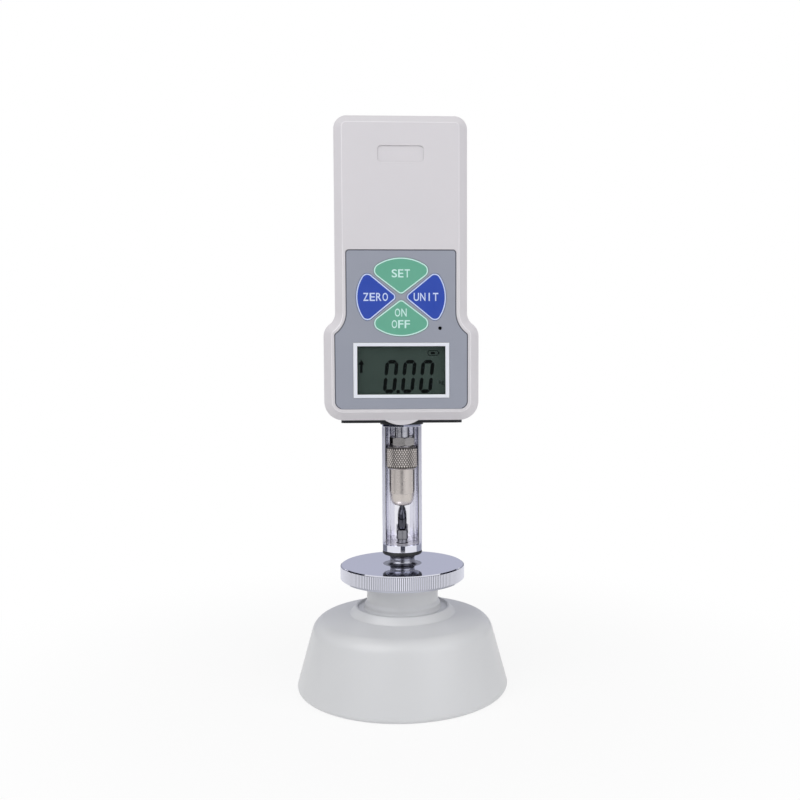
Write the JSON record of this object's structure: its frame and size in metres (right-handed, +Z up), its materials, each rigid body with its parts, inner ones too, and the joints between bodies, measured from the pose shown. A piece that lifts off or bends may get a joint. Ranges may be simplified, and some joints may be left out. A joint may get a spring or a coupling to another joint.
{
  "type": "grain hardness tester",
  "caption": "Benchtop grain hardness tester: conical weighted base, handwheel that lifts an anvil in a slotted column, chucked presser tip and a digital force gauge on top.",
  "frame": {"origin": "centre of the base's underside, on the column's axis", "axes": "+Z up along the column, -Y towards the display and keys, +X to the viewer's right"},
  "size_m": [0.1004, 0.1004, 0.2682],
  "materials": {
    "grey_paint": "gloss",
    "chrome_plate": "polished",
    "satin_nickel": "satin",
    "steel": "machined",
    "zinc_plate": "zinc plated",
    "bronze": "satin",
    "dark_steel": "polished",
    "black_anodised": "satin",
    "alloy": "milled",
    "housing_plastic": "satin",
    "fascia_film": "satin",
    "green_film": "satin",
    "blue_film": "satin",
    "white_plastic": "satin",
    "clear_window": "clear",
    "display": "glass",
    "board_laminate": "solder mask",
    "black_plastic": "satin",
    "battery_wrap": "shrink film",
    "black_rubber": "matte"
  },
  "bodies": {
    "base": {"base_casting": "grey_paint", "thrust_washer": "bronze", "column_foot": "steel", "stem_washer": "zinc_plate", "stem_nut": "zinc_plate", "column_oring": "black_rubber", "column_tube": "chrome_plate", "mounting_plate": "black_anodised", "plate_screws": "zinc_plate", "front_shell": "housing_plastic", "rear_shell": "housing_plastic", "case_screws": "zinc_plate", "fascia": "fascia_film", "lcd_bezel": "white_plastic", "lcd_window": "clear_window", "lcd_module": "display", "circuit_board": "board_laminate", "board_screws": "zinc_plate", "key_switches": "black_plastic", "sounder": "black_plastic", "battery_pack": "battery_wrap", "charging_socket": "black_plastic", "port_cover": "black_rubber", "sensor_frame": "alloy", "load_cell": "alloy", "cell_bolt": "zinc_plate", "measuring_shaft": "steel", "lock_nut": "satin_nickel", "chuck_body": "steel", "chuck_collet": "steel", "presser_tip": "dark_steel"},
    "handwheel": {"handwheel": "chrome_plate"},
    "anvil": {"anvil": "satin_nickel", "cross_pin": "steel", "lift_ring": "bronze"},
    "chuck_sleeve": {"chuck_sleeve": "satin_nickel"},
    "set_key": {"set_key": "green_film"},
    "zero_key": {"zero_key": "blue_film"},
    "unit_key": {"unit_key": "blue_film"},
    "power_key": {"power_key": "green_film"}
  },
  "joints": [
    {"name": "handwheel_turn", "type": "hinge", "parent": "base", "child": "handwheel", "pos_m": [0, 0, 0.055], "axis": [0, 0, 1], "range_deg": [0, 1920]},
    {"name": "anvil_lift", "type": "slide", "parent": "base", "child": "anvil", "axis": [0, 0, 1], "range_m": [-0.008, 0]},
    {"name": "chuck_close", "type": "hinge", "parent": "base", "child": "chuck_sleeve", "pos_m": [0, 0, 0.11], "axis": [0, 0, 1], "range_deg": [0, 360]},
    {"name": "set_press", "type": "slide", "parent": "base", "child": "set_key", "axis": [0, 1, 0], "range_m": [0, 0.0004], "stiffness_N_per_m": 400},
    {"name": "zero_press", "type": "slide", "parent": "base", "child": "zero_key", "axis": [0, 1, 0], "range_m": [0, 0.0004], "stiffness_N_per_m": 400},
    {"name": "unit_press", "type": "slide", "parent": "base", "child": "unit_key", "axis": [0, 1, 0], "range_m": [0, 0.0004], "stiffness_N_per_m": 400},
    {"name": "power_press", "type": "slide", "parent": "base", "child": "power_key", "axis": [0, 1, 0], "range_m": [0, 0.0004], "stiffness_N_per_m": 400}
  ],
  "couplings": [
    {"joint": "anvil_lift", "follows": "handwheel_turn", "m_per_rad": -0.00023873}
  ]
}
